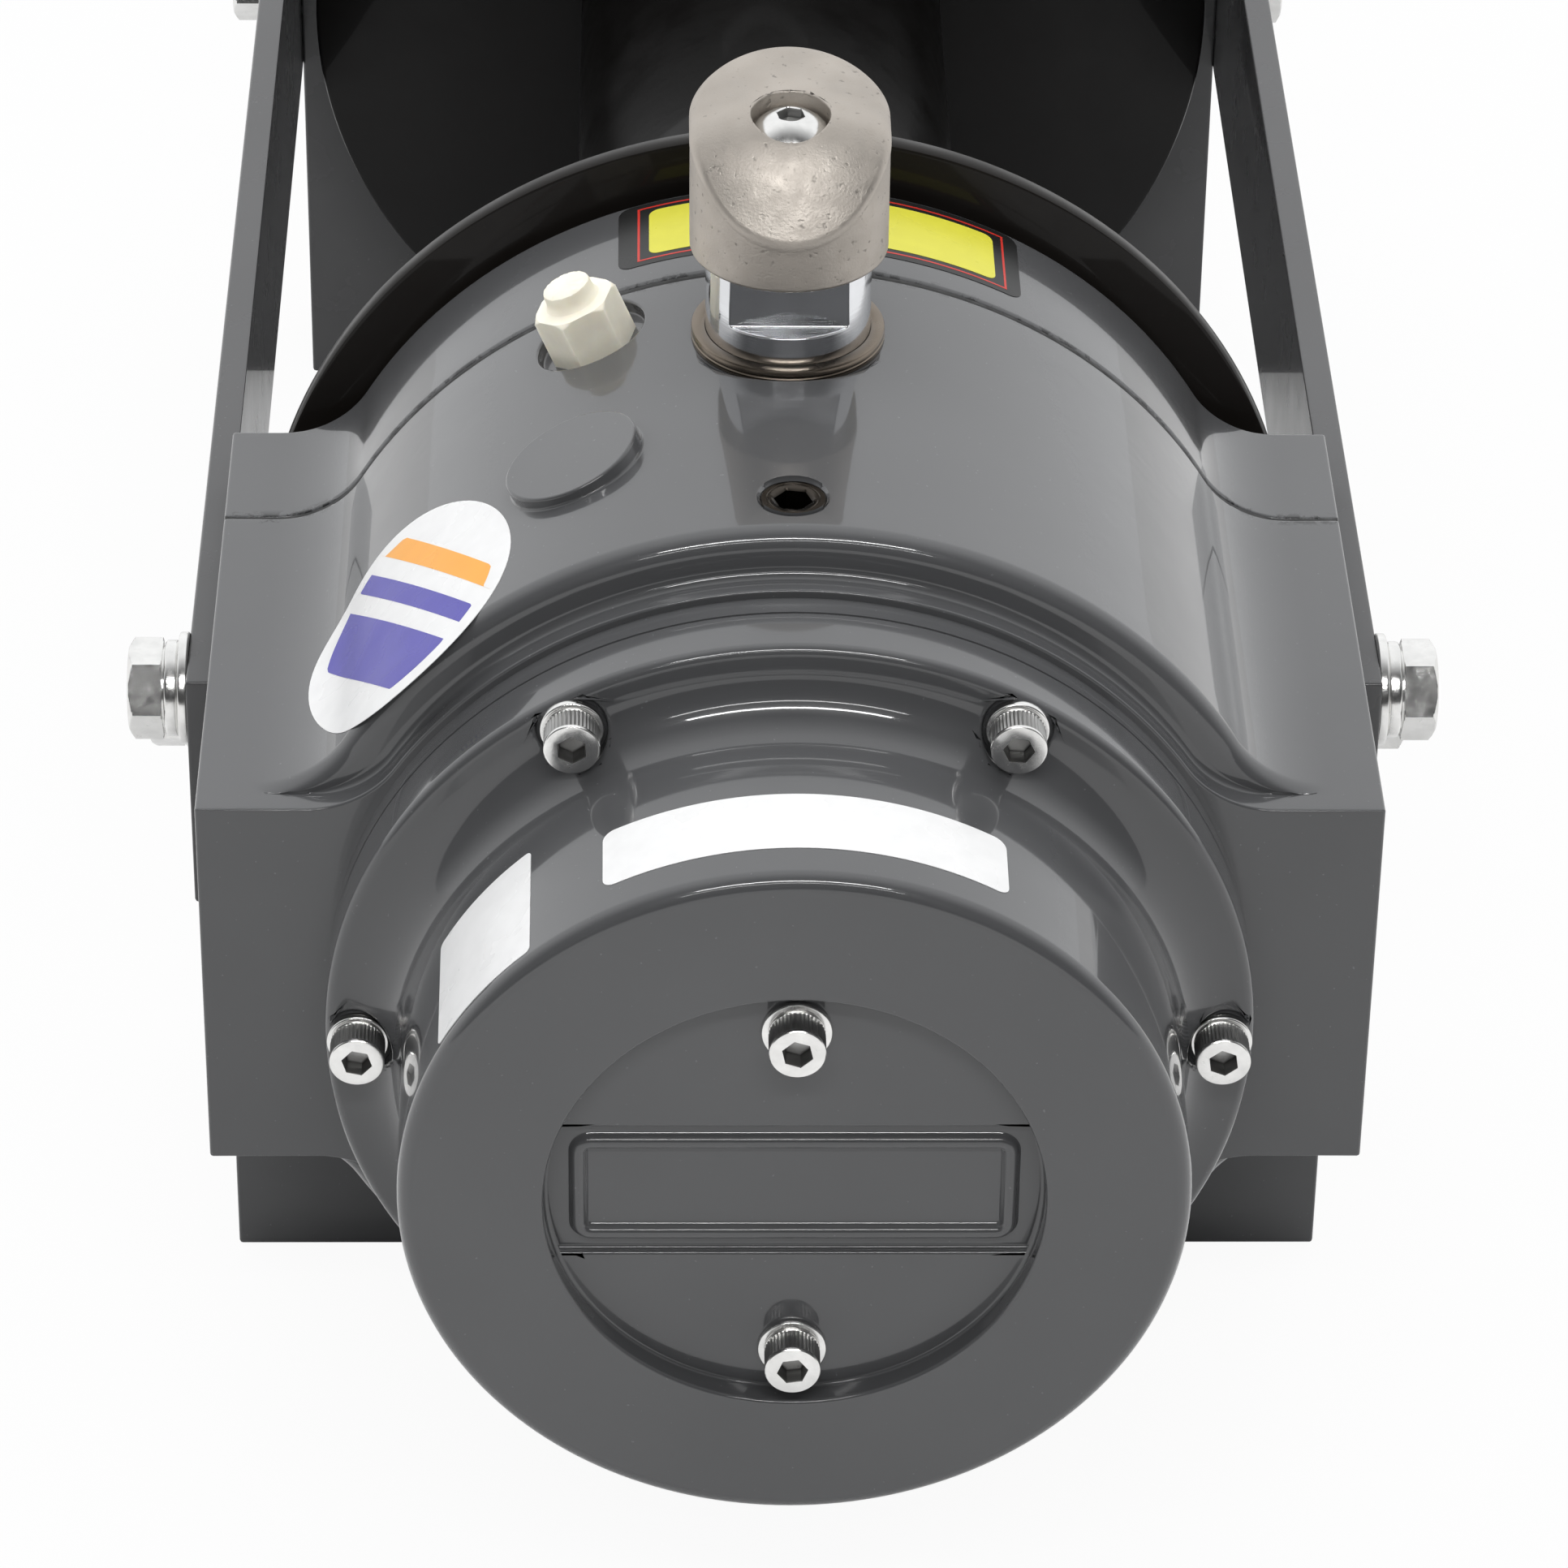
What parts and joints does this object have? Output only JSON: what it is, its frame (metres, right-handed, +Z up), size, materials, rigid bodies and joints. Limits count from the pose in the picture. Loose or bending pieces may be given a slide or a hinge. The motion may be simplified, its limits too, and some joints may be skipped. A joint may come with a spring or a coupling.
{
  "type": "hydraulic winch",
  "caption": "Hydraulic winch with a drum between a planetary gear housing and a gear motor, side rails, a clutch knob on top and tapped holes in its feet",
  "frame": {"origin": "centre of the outline seen from above, on the floor under the feet", "axes": "+Y runs along the drum axis from the gear cover to the motor, +X to the right seen from the gear cover, +Z up through the clutch knob"},
  "size_m": [0.3248, 0.7676, 0.3225],
  "materials": {
    "housing_paint": "gloss dark grey enamel on cast iron",
    "frame_paint": "gloss dark grey enamel on steel plate",
    "drum_paint": "gloss black enamel",
    "zinc_plate": "bright zinc plating",
    "black_steel": "black oxide",
    "ring_steel": "steel gear with its rim painted with the housing",
    "gear_steel": "hardened and ground",
    "machined_steel": "turned and milled",
    "bronze": "plain bearing bronze",
    "seal_rubber": "matt",
    "breather_nylon": "off-white nylon",
    "bush_steel": "turned, with a thin brown oil film",
    "shaft_chrome": "ground and bright",
    "knob_metal": "satin nickel on a casting",
    "motor_iron": "black painted cast iron"
  },
  "bodies": {
    "frame": {"gear_housing": "housing_paint", "drum_side_housing": "housing_paint", "housing_gasket": "seal_rubber", "housing_screws": "black_steel", "first_ring_gear": "ring_steel", "gear_cover": "housing_paint", "cover_screws": "zinc_plate", "cover_spring_washers": "zinc_plate", "front_screws": "zinc_plate", "front_washers": "zinc_plate", "thrust_plate": "bronze", "level_plug": "black_steel", "breather_plug": "breather_nylon", "clutch_bush": "bush_steel", "second_ring_gear": "gear_steel", "housing_foot": "housing_paint", "foot_screws": "black_steel", "left_rail": "frame_paint", "right_rail": "frame_paint", "rail_bolts": "zinc_plate", "rail_spring_washers": "zinc_plate", "rail_flat_washers": "zinc_plate", "motor_support": "frame_paint", "drum_bushes": "bronze", "drum_seals": "seal_rubber", "motor_front_cover": "motor_iron", "motor_body": "motor_iron", "motor_rear_cover": "motor_iron", "motor_bearing_blocks": "bronze", "motor_shaft_seal": "seal_rubber", "motor_through_bolts": "zinc_plate", "motor_mount_bolts": "zinc_plate", "valve_block": "motor_iron", "valve_block_screws": "zinc_plate", "valve_cartridges": "zinc_plate"},
    "drum": {"drum_barrel": "drum_paint", "drum_flange_gear_end": "drum_paint", "drum_flange_motor_end": "drum_paint", "second_carrier": "machined_steel", "second_planet_pins": "machined_steel"},
    "second_planet_1": {"second_planet_1": "gear_steel"},
    "second_planet_2": {"second_planet_2": "gear_steel"},
    "second_planet_3": {"second_planet_3": "gear_steel"},
    "middle_carrier": {"first_carrier": "machined_steel", "first_planet_pins": "machined_steel", "second_sun": "gear_steel"},
    "first_planet_1": {"first_planet_1": "gear_steel"},
    "first_planet_2": {"first_planet_2": "gear_steel"},
    "first_planet_3": {"first_planet_3": "gear_steel"},
    "input_shaft": {"drive_shaft": "machined_steel", "first_sun": "gear_steel", "shaft_coupling": "machined_steel", "motor_drive_gear": "gear_steel"},
    "motor_idler": {"motor_idler_gear": "gear_steel"},
    "clutch_slider": {"clutch_dog": "machined_steel"},
    "clutch_handle": {"clutch_shaft": "shaft_chrome", "clutch_knob": "knob_metal", "clutch_screw": "zinc_plate"}
  },
  "joints": [
    {"name": "drum_spin", "type": "hinge", "parent": "frame", "child": "drum", "pos_m": [0, 0.0478, 0.14], "axis": [0, 1, 0], "continuous": true},
    {"name": "second_planet_1_spin", "type": "hinge", "parent": "drum", "child": "second_planet_1", "pos_m": [0.0495, -0.1922, 0.14], "axis": [0, 1, 0], "continuous": true},
    {"name": "second_planet_2_spin", "type": "hinge", "parent": "drum", "child": "second_planet_2", "pos_m": [-0.02475, -0.1922, 0.18287], "axis": [0, 1, 0], "continuous": true},
    {"name": "second_planet_3_spin", "type": "hinge", "parent": "drum", "child": "second_planet_3", "pos_m": [-0.02475, -0.1922, 0.09713], "axis": [0, 1, 0], "continuous": true},
    {"name": "carrier_spin", "type": "hinge", "parent": "frame", "child": "middle_carrier", "pos_m": [0, -0.2642, 0.14], "axis": [0, 1, 0], "continuous": true},
    {"name": "first_planet_1_spin", "type": "hinge", "parent": "middle_carrier", "child": "first_planet_1", "pos_m": [0.04125, -0.3257, 0.14], "axis": [0, 1, 0], "continuous": true},
    {"name": "first_planet_2_spin", "type": "hinge", "parent": "middle_carrier", "child": "first_planet_2", "pos_m": [-0.02063, -0.3257, 0.17572], "axis": [0, 1, 0], "continuous": true},
    {"name": "first_planet_3_spin", "type": "hinge", "parent": "middle_carrier", "child": "first_planet_3", "pos_m": [-0.02063, -0.3257, 0.10428], "axis": [0, 1, 0], "continuous": true},
    {"name": "input_spin", "type": "hinge", "parent": "frame", "child": "input_shaft", "pos_m": [0, -0.0492, 0.14], "axis": [0, 1, 0], "continuous": true},
    {"name": "motor_idler_spin", "type": "hinge", "parent": "frame", "child": "motor_idler", "pos_m": [0, 0.3278, 0.098], "axis": [0, 1, 0], "continuous": true},
    {"name": "clutch_pull", "type": "slide", "parent": "frame", "child": "clutch_slider", "axis": [0, 0, 1], "range_m": [0, 0.01]},
    {"name": "clutch_turn", "type": "hinge", "parent": "clutch_slider", "child": "clutch_handle", "pos_m": [0, -0.1932, 0.27], "axis": [0, 0, 1], "range_deg": [0, 90]}
  ],
  "couplings": [
    {"joint": "second_planet_1_spin", "follows": "drum_spin", "ratio": -2.8333},
    {"joint": "second_planet_2_spin", "follows": "drum_spin", "ratio": -2.8333},
    {"joint": "second_planet_3_spin", "follows": "drum_spin", "ratio": -2.8333},
    {"joint": "carrier_spin", "follows": "drum_spin", "ratio": 4.4},
    {"joint": "first_planet_1_spin", "follows": "drum_spin", "ratio": -12.467},
    {"joint": "first_planet_2_spin", "follows": "drum_spin", "ratio": -12.467},
    {"joint": "first_planet_3_spin", "follows": "drum_spin", "ratio": -12.467},
    {"joint": "input_spin", "follows": "drum_spin", "ratio": 19.36},
    {"joint": "motor_idler_spin", "follows": "drum_spin", "ratio": -19.36}
  ]
}
